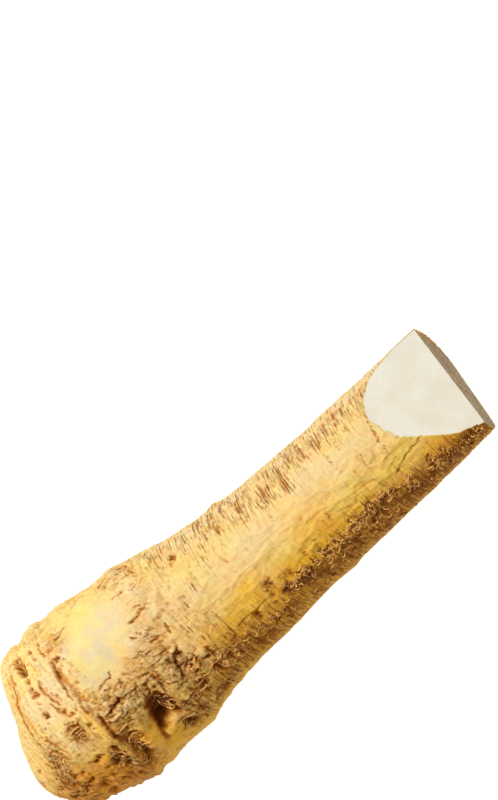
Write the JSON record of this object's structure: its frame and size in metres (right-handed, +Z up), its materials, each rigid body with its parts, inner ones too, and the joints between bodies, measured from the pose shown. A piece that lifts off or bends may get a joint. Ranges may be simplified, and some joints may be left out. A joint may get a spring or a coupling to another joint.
{
  "type": "horseradish root",
  "caption": "Thick horseradish root lying on its side, with a ringed, scarred crown, a straight fibrous shaft, and a squared end whose upper corner is sliced off to white flesh.",
  "frame": {"origin": "middle of the root's bounding box in plan, at the height of the surface it lies on", "axes": "+X along the root from the crown to the cut end, +Z up as the root lies"},
  "size_m": [0.2092, 0.0702, 0.0687],
  "materials": {
    "root_skin": "rough, waxy bark, cream to golden tan with brown scars",
    "cut_flesh": "smooth, moist, ivory white",
    "dried_end": "dry, matt, grainy grey-brown",
    "rootlets": "dry fibre, tan to dark brown"
  },
  "bodies": {
    "root": {"horseradish_root": "root_skin"}
  },
  "joints": []
}
